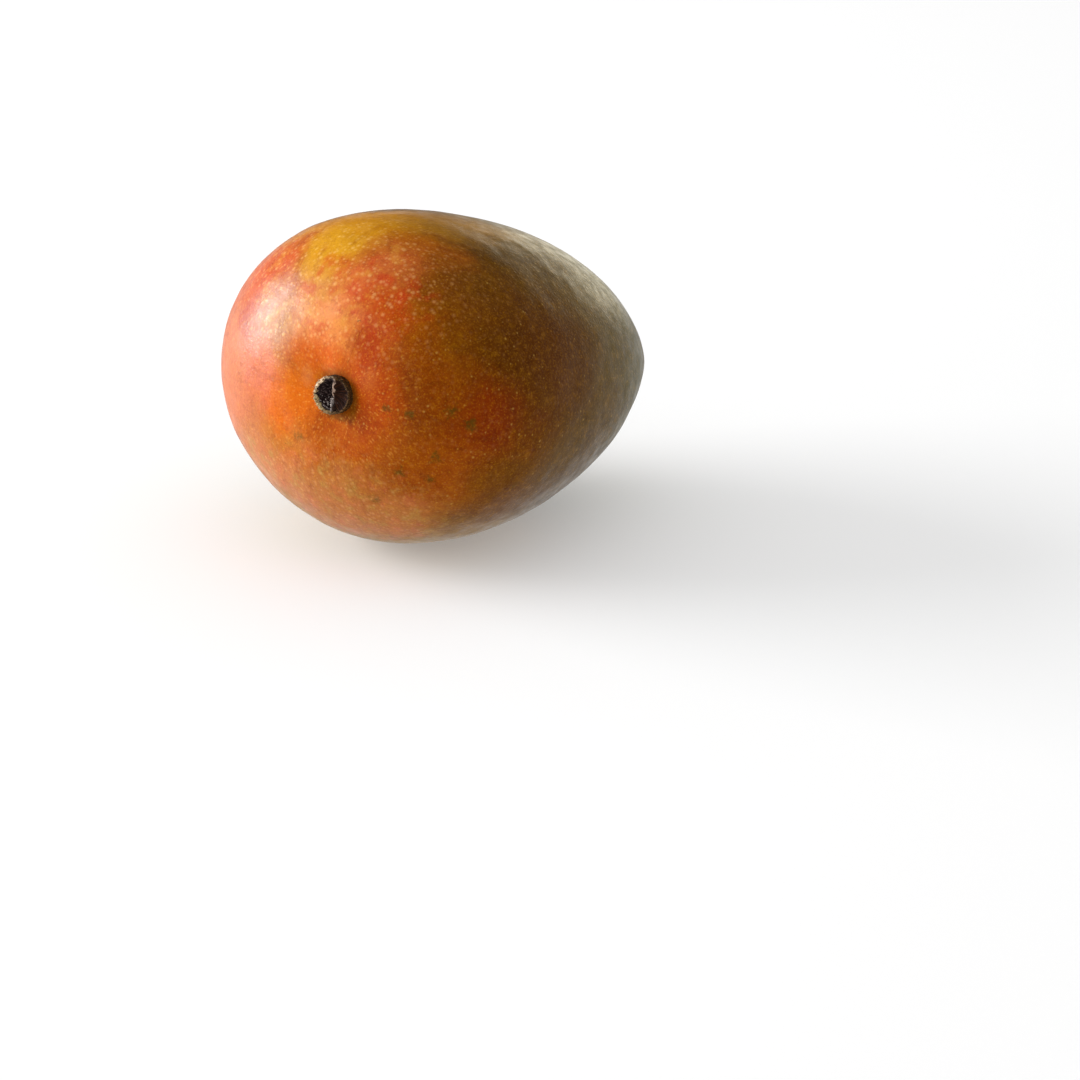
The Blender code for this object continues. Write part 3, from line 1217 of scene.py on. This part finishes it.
@dataclass(frozen=True)
class FloorFinish:
    """A plain white studio floor, lit from below a little so that it stays pale in the shadow."""

    colour: Colour = Colour(226, 226, 226)
    roughness: float = 0.9
    glow: float = 0.25

    def material(self) -> bpy.types.Material:
        """Lay out the material.

        Returns:
            The material.
        """
        material, bench = new_material("studio_floor")
        bench.fill(SHADER, Base_Color=self.colour, Roughness=self.roughness, Specular_IOR_Level=0.0,
                   Emission_Color=WHITE, Emission_Strength=self.glow)
        return material


@dataclass(frozen=True)
class Swell:
    """The low swells that a grown surface has: their width and their height, in millimetres."""

    name: str
    size: float
    height: float


@dataclass
class Fruit:
    """The fruit's skin."""

    place: RestingPlace = field(default_factory=RestingPlace)
    cuts: tuple[int, ...] = (7, 15)
    swells: tuple[Swell, ...] = (Swell("broad_swells", 16.0, 0.5), Swell("fine_swells", 5.0, 0.12))
    room_depth: float = 1.3
    room_edge: Pair = (3.7, 3.1)
    room_reach: float = 3.0

    def build(self) -> bpy.types.Object:
        """Model the skin from a divided cube.

        Returns:
            The skin's object.
        """
        fresh_start()
        bpy.ops.mesh.primitive_cube_add(size=2.0, location=(0.0, 0.0, 0.0))
        skin = new_piece("fruit_skin")
        edit_all()
        for cuts in self.cuts:
            bpy.ops.mesh.subdivide(number_cuts=cuts)
        bpy.ops.object.mode_set(mode="OBJECT")
        set_points(skin, self.place.form.skin(points_of(skin)) * MM)
        skin.data.transform(self.place.matrix())
        self.swell(skin)
        self.press_flat(skin)
        self.make_room(skin)
        smooth_off(skin)
        return skin

    def swell(self, skin: bpy.types.Object) -> None:
        """Give the skin its swells.

        Args:
            skin: The skin's object.
        """
        for swell in self.swells:
            clouds = bpy.data.textures.new(swell.name, "CLOUDS")
            clouds.noise_scale = swell.size * MM
            bpy.ops.object.modifier_add(type="DISPLACE")
            displace = skin.modifiers[-1]
            displace.texture = clouds
            displace.strength = swell.height * MM
            bpy.ops.object.modifier_apply(modifier=displace.name)

    def press_flat(self, skin: bpy.types.Object) -> None:
        """Flatten what would reach below the surface that the fruit lies on.

        Args:
            skin: The skin's object.
        """
        points = points_of(skin)
        points[:, 2] = np.maximum(points[:, 2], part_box("fruit")[0].z)
        set_points(skin, points)

    def make_room(self, skin: bpy.types.Object) -> None:
        """Sink the skin where the stub stands on it, out of sight below the pit of the broken wood.

        Args:
            skin: The skin's object.
        """
        stalk = np.array(self.place.stalk_matrix())
        points = points_of(skin)
        own = (points - stalk[:3, 3]) @ stalk[:3, :3] / MM
        near = np.abs(own[:, 2]) < self.room_reach
        sunk = self.room_depth * near * smooth(np.hypot(own[:, 0], own[:, 1]), *self.room_edge)
        set_points(skin, points - sunk[:, None] * MM * stalk[:3, 2])

    def dress(self, skin: bpy.types.Object) -> None:
        """Give the skin its finish, and let it stand for the model's fruit.

        Args:
            skin: The skin's object.
        """
        skin.data.materials.append(SkinFinish().material(self.place))
        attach(skin, "root")
        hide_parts("fruit")


@dataclass(frozen=True)
class Wood:
    """The broken wood of the stub, in its own axes and millimetres."""

    segments: int = 120
    rings: int = 26
    side_bands: int = 5
    end_margin: float = 0.01
    lump_size: float = 0.9
    pit_lumps: float = 0.455
    rib_lumps: float = 0.245
    lumpy_to: float = 0.8
    rib_circle: float = 4.0
    rib_change: float = 0.2
    rib_size: float = 0.4
    rib_height: float = 0.16
    ribbed_to: float = 0.9
    ridge_drop: Pair = (0.8, 1.2)
    ridge_drop_from: Pair = (0.8, -0.8)
    furrow_change: float = 0.3
    furrow_size: float = 0.5
    furrow_depth: float = 0.035
    furrowed_from: float = 0.97

    def build(self, form: StubForm) -> bpy.types.Object:
        """Model the wood from a cylinder whose end is inset in rings.

        Args:
            form: The stub's shape.

        Returns:
            The wood's object.
        """
        fresh_start()
        bpy.ops.mesh.primitive_cylinder_add(
            vertices=self.segments, radius=form.end_radius, depth=form.root,
            location=(0.0, 0.0, -0.5 * form.root))
        wood = new_piece("stub_wood")
        wood.data.transform(Matrix.Translation(wood.location))
        wood.location = (0.0, 0.0, 0.0)
        bpy.ops.object.mode_set(mode="EDIT")
        bpy.ops.mesh.select_all(action="DESELECT")
        bpy.ops.object.mode_set(mode="OBJECT")
        top = max(wood.data.polygons, key=lambda face: face.center.z)
        top.select = True
        bpy.ops.object.mode_set(mode="EDIT")
        band = {"value": (0.0, 0.0, form.rim_height / self.side_bands)}
        for _ in range(self.side_bands):
            bpy.ops.mesh.extrude_region_move(TRANSFORM_OT_translate=band)
        for _ in range(self.rings):
            bpy.ops.mesh.inset(thickness=form.end_radius / (self.rings + 1.0))
        bpy.ops.mesh.poke()
        bpy.ops.object.mode_set(mode="OBJECT")
        set_points(wood, self.broken(form, points_of(wood)))
        return wood

    def broken(self, form: StubForm, points: np.ndarray) -> np.ndarray:
        """Shape the broken end and the furrows of the side.

        Args:
            form: The stub's shape.
            points: The points of the plain stub, one row each.

        Returns:
            The points of the broken stub.
        """
        across, upwards, out = points.T
        share = np.hypot(across, upwards) / form.end_radius
        inside = share < self.ribbed_to
        rough = grain(points, self.lump_size, layers=4)
        fan = np.arctan2(upwards - form.fan_middle[1], across - form.fan_middle[0])
        circle = self.rib_circle * np.array([np.cos(fan), np.sin(fan)])
        ribs = grain(np.column_stack([*circle, self.rib_change * share]), self.rib_size, layers=2)
        right = smooth(across, form.ridge_place, form.ridge_place + self.lumpy_to)
        lumps = self.pit_lumps + (self.rib_lumps - self.pit_lumps) * right
        fractured = lumps * rough + self.rib_height * ribs * right * inside
        along_ridge = bell(across, form.ridge_place, form.ridge_half_width) * inside
        drop = self.ridge_drop[0] + self.ridge_drop[1] * rough
        fractured -= along_ridge * smooth(upwards, *self.ridge_drop_from) * drop
        furrows = grain(np.column_stack([across, upwards, self.furrow_change * out]), self.furrow_size)
        wider = 1.0 + self.furrow_depth * furrows * (share > self.furrowed_from)
        side = out * (form.rim(across) / form.rim_height)
        end = out > form.rim_height - self.end_margin
        height = np.where(end, form.height(across, upwards) + fractured, side)
        height = np.where(out < 0.0, -form.root, height)
        return np.column_stack([across * wider, upwards * wider, height])


@dataclass(frozen=True)
class Bark:
    """The bark round the broken end, in the stub's axes and millimetres."""

    cells: tuple[int, int] = (180, 14)
    half_thickness: float = 0.5
    width: Pair = (0.42, 0.09)
    thin_side: float = 0.35
    thinning: Pair = (0.1, 0.8)
    inset: float = 0.3
    sunk: float = 0.25
    stretch: Triple = (1.0, 1.0, 1.25)
    raggedness: float = 0.8
    ragged_size: float = 0.55
    relief: float = 0.3
    relief_size: float = 0.7

    def build(self, form: StubForm) -> bpy.types.Object:
        """Model the bark as a ragged ring.

        Args:
            form: The stub's shape.

        Returns:
            The bark's object.
        """
        radius = form.end_radius - self.inset
        fresh_start()
        bpy.ops.mesh.primitive_torus_add(
            major_segments=self.cells[0], minor_segments=self.cells[1],
            major_radius=radius, minor_radius=self.half_thickness)
        bark = new_piece("stub_bark")
        points = points_of(bark)
        around = np.arctan2(points[:, 1], points[:, 0])
        middle = radius * np.column_stack([np.cos(around), np.sin(around), np.zeros(len(around))])
        belly = 0.5 + 0.5 * np.cos(around - self.thin_side)
        width = self.width[0] + (self.width[1] - self.width[0]) * smooth(belly, *self.thinning)
        ragged = 1.0 + self.raggedness * grain(points, self.ragged_size, layers=4)
        spread = width * ragged / self.half_thickness
        shaped = middle + (points - middle) * spread[:, None] * self.stretch
        shaped[:, 2] += form.rim(middle[:, 0]) - self.sunk + self.relief * grain(middle, self.relief_size)
        set_points(bark, shaped)
        return bark


@dataclass(frozen=True)
class Fibres:
    """The fibres that stand out of the bark, in the stub's axes and millimetres."""

    count: int = 110
    tip: float = 0.3
    joints: Triple = (-0.25, 0.0, 0.25)
    radius: float = 0.065
    length: Pair = (0.3, 0.95)
    side: float = math.radians(185.0)
    spread: float = math.radians(95.0)
    inset: Pair = (-0.45, 0.0)
    sunk: Pair = (-0.6, 0.0)
    outwards: Pair = (-0.6, 0.7)
    sideways: float = 0.6
    upwards: Pair = (0.3, 1.0)
    curl: float = 0.3
    seed: int = 11

    def build(self, form: StubForm) -> bpy.types.Object:
        """Model the fibres as copies of one bent four-sided spike.

        Args:
            form: The stub's shape.

        Returns:
            Their one object.
        """
        draw = np.random.default_rng(self.seed)
        fresh_start()
        bpy.ops.mesh.primitive_cone_add(
            vertices=4, radius1=1.0, radius2=self.tip, depth=1.0, location=(0.0, 0.0, 0.0))
        spike = bpy.context.object
        for height in self.joints:
            edit_all()
            bpy.ops.mesh.bisect(plane_co=(0.0, 0.0, height), plane_no=(0.0, 0.0, 1.0))
        bpy.ops.object.mode_set(mode="OBJECT")
        straight = points_of(spike)
        return copies_of(spike, "stub_fibres", [self.bent(form, straight, draw) for _ in range(self.count)])

    def bent(self, form: StubForm, straight: np.ndarray, draw: np.random.Generator) -> np.ndarray:
        """Shape one fibre, rooted in the bark.

        Args:
            form: The stub's shape.
            straight: The points of a straight spike of length 1 along +Z, about its middle.
            draw: The source of its random lean, length and curl.

        Returns:
            The fibre's points.
        """
        around = draw.normal(self.side, self.spread)
        outwards = np.array([math.cos(around), math.sin(around), 0.0])
        sideways = np.array([-math.sin(around), math.cos(around), 0.0])
        foot = outwards * (form.end_radius + draw.uniform(*self.inset))
        foot[2] = form.rim(foot[0]) + draw.uniform(*self.sunk)
        lean = outwards * draw.uniform(*self.outwards) + sideways * draw.normal(0.0, self.sideways)
        lean[2] = draw.uniform(*self.upwards)
        lean /= np.linalg.norm(lean)
        length = draw.uniform(*self.length)
        curl = draw.normal(0.0, self.curl, 3)
        turn = np.array(Vector(lean).to_track_quat("Z", "Y").to_matrix())
        run = straight[:, 2:] + 0.5
        thin = straight * (self.radius, self.radius, 0.0) @ turn.T
        return foot + thin + run * length * lean + run ** 2 * length * curl


@dataclass(frozen=True)
class Crumbs:
    """The crumbs that lie in the pit and along the ridge, in the stub's axes and millimetres."""

    count: int = 80
    size: Pair = (0.07, 0.26)
    middle: Pair = (-0.5, -1.5)
    spread: Pair = (0.9, 1.0)
    limit: float = 3.2
    dents: float = 0.6
    dent_size: float = 0.8
    variety: float = 9.0
    stretch: Pair = (0.6, 1.4)
    rise: float = 0.2
    seed: int = 11

    def build(self, form: StubForm) -> bpy.types.Object:
        """Model the crumbs as copies of one lump.

        Args:
            form: The stub's shape.

        Returns:
            Their one object.
        """
        draw = np.random.default_rng(self.seed)
        fresh_start()
        bpy.ops.mesh.primitive_ico_sphere_add(subdivisions=2, radius=1.0, location=(0.0, 0.0, 0.0))
        lump = bpy.context.object
        ball = points_of(lump)
        return copies_of(lump, "stub_crumbs", [self.dented(form, ball, draw) for _ in range(self.count)])

    def dented(self, form: StubForm, ball: np.ndarray, draw: np.random.Generator) -> np.ndarray:
        """Shape one crumb, half sunk in the wood.

        Args:
            form: The stub's shape.
            ball: The points of a ball of radius 1.
            draw: The source of its random place, size and shape.

        Returns:
            The crumb's points.
        """
        place = draw.normal(self.middle, self.spread)
        place *= min(1.0, self.limit / float(np.hypot(*place)))
        size = draw.uniform(*self.size)
        read_at = ball + draw.uniform(0.0, self.variety)
        uneven = 1.0 + self.dents * grain(read_at, self.dent_size, layers=2)
        height = form.height(place[:1], place[1:])[0] + self.rise * size
        return ball * size * draw.uniform(*self.stretch, 3) * uneven[:, None] + (*place, height)


@dataclass
class Stub:
    """The stalk's stub: its broken wood, the corky bark round it, and the fibres and crumbs of the break."""

    place: RestingPlace = field(default_factory=RestingPlace)
    form: StubForm = field(default_factory=StubForm)

    def build(self) -> list[bpy.types.Object]:
        """Model the pieces and set them in the hollow.

        Returns:
            The wood, the bark, the fibres and the crumbs.
        """
        pieces = [part.build(self.form) for part in (Wood(), Bark(), Fibres(), Crumbs())]
        for piece in pieces:
            set_in_place(piece, self.place.stalk_matrix())
        return pieces

    def dress(self, pieces: Sequence[bpy.types.Object]) -> None:
        """Give the pieces their finishes, and let them stand for the model's stub.

        Args:
            pieces: The wood, the bark, the fibres and the crumbs.
        """
        matrix = self.place.stalk_matrix()
        bark = BARK.material(matrix)
        finishes = (WoodFinish().material(matrix, self.form), bark, bark, PITH.material(matrix))
        for piece, finish in zip(pieces, finishes):
            piece.data.materials.append(finish)
            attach(piece, "root")
            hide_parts("stalk_stub")


def direction(azimuth: float, elevation: float) -> Vector:
    """Return a unit direction from degrees: azimuth 0 is towards -Y and 90 towards +X."""
    turn, rise = math.radians(azimuth), math.radians(elevation)
    return Vector((math.sin(turn) * math.cos(rise), -math.cos(turn) * math.cos(rise), math.sin(rise)))


@dataclass(frozen=True)
class Softbox:
    """A rectangular light that faces the fruit, given in degrees and metres by what the fruit sees of it."""

    name: str
    azimuth: float
    elevation: float
    half_width: float
    half_height: float
    distance: float
    radiance: float
    lighting: Lighting
    tint: Triple = (1.0, 1.0, 1.0)

    def build(self) -> bpy.types.Object:
        """Hang the light.

        Returns:
            The light's object.
        """
        data = bpy.data.lights.new(self.name, "AREA")
        data.shape = "RECTANGLE"
        data.size = 2.0 * self.distance * math.tan(math.radians(self.half_width))
        data.size_y = 2.0 * self.distance * math.tan(math.radians(self.half_height))
        data.energy = self.radiance * math.pi * data.size * data.size_y
        data.color = self.tint
        light = bpy.data.objects.new(self.name, data)
        bpy.context.scene.collection.objects.link(light)
        towards = direction(self.azimuth, self.elevation)
        light.location = towards * self.distance
        light.rotation_euler = towards.to_track_quat("Z", "Y").to_euler()
        light.visible_camera = False
        light.visible_diffuse = self.lighting is Lighting.MATT
        light.visible_glossy = self.lighting is Lighting.SHINE
        return light


@dataclass
class Studio:
    """The floor, the light and the camera, in metres and degrees; the lens and sensor in millimetres."""

    floor_width: float = 8.0
    lens: float = 103.6
    sensor: float = 36.0
    camera_distance: float = 0.7
    camera_azimuth: float = -58.228
    camera_elevation: float = 20.185
    aim: Triple = (-0.00070, -0.02778, -0.00094)
    ambient: float = 0.72
    mirrored_back: float = 150.0
    mirrored_back_range: Pair = (-0.3, 0.8)
    mirrored_floor: Pair = (0.06, 1.0)
    mirrored_room: float = 0.02
    mirrored_horizon: Pair = (-0.02, 0.12)
    lights: tuple[Softbox, ...] = (
        Softbox("window_light", -159.0, 17.0, 22.0, 15.0, 2.0, 9.0, Lighting.MATT),
        Softbox("window_shine", -159.0, 14.0, 19.5, 15.0, 2.0, 30.0, Lighting.SHINE, (0.52, 0.73, 1.0)),
        Softbox("backdrop_shine", 103.5, 4.0, 12.5, 5.5, 2.5, 3.4, Lighting.SHINE, (1.0, 0.92, 0.68)),
    )

    def build_floor(self) -> None:
        """Lay the floor apart from the fruit, where mirrored rays don't see it."""
        fresh_start()
        bpy.ops.mesh.primitive_plane_add(size=self.floor_width, location=(0.0, 0.0, 0.0))
        floor = new_piece("floor")
        floor.data.materials.append(FloorFinish().material())
        floor.visible_glossy = False

    def build_camera(self) -> None:
        """Set the camera at the picture's viewing angle."""
        data = bpy.data.cameras.new("camera")
        data.lens = self.lens
        data.sensor_width = self.sensor
        camera = bpy.data.objects.new("camera", data)
        bpy.context.scene.collection.objects.link(camera)
        back = direction(self.camera_azimuth, self.camera_elevation)
        camera.location = Vector(self.aim) + back * self.camera_distance
        camera.rotation_euler = back.to_track_quat("Z", "Y").to_euler()
        bpy.context.scene.camera = camera

    def build_room(self) -> None:
        """Fill the room with even light; a shine shows a dim ceiling and a floor that is bright behind."""
        world = bpy.data.worlds.new("room")
        bpy.context.scene.world = world
        world.use_nodes = True
        bench = Bench(world.node_tree)
        towards = bench.nodes.new("ShaderNodeTexCoord").outputs["Generated"]
        ray = bench.nodes.new("ShaderNodeLightPath").outputs
        backwards = bench.measure("DOT_PRODUCT", towards, direction(self.mirrored_back, 0.0))
        floor = bench.between(bench.step(backwards, *self.mirrored_back_range), *self.mirrored_floor)
        above = bench.step(bench.split(towards)[2], *self.mirrored_horizon)
        shine = bench.between(above, floor, self.mirrored_room)
        lit = bench.between(ray["Is Glossy Ray"], self.ambient, shine)
        seen = bench.between(ray["Is Camera Ray"], lit, 1.0)
        bench.fill("Background", Color=WHITE, Strength=seen)

    def build(self) -> None:
        """Build the whole studio."""
        self.build_floor()
        self.build_camera()
        self.build_room()
        for light in self.lights:
            light.build()
        bpy.context.scene.view_settings.view_transform = "Standard"


def main() -> None:
    """Build the studio and the fruit, and report each piece."""
    logging.basicConfig(level=logging.INFO, format="%(message)s")
    Studio().build()
    fruit = Fruit()
    skin = fruit.build()
    fruit.dress(skin)
    stub = Stub()
    pieces = stub.build()
    stub.dress(pieces)
    for piece in (skin, *pieces):
        LOG.info("%s: %d vertices", piece.name, len(piece.data.vertices))


if __name__ == "__main__":
    main()
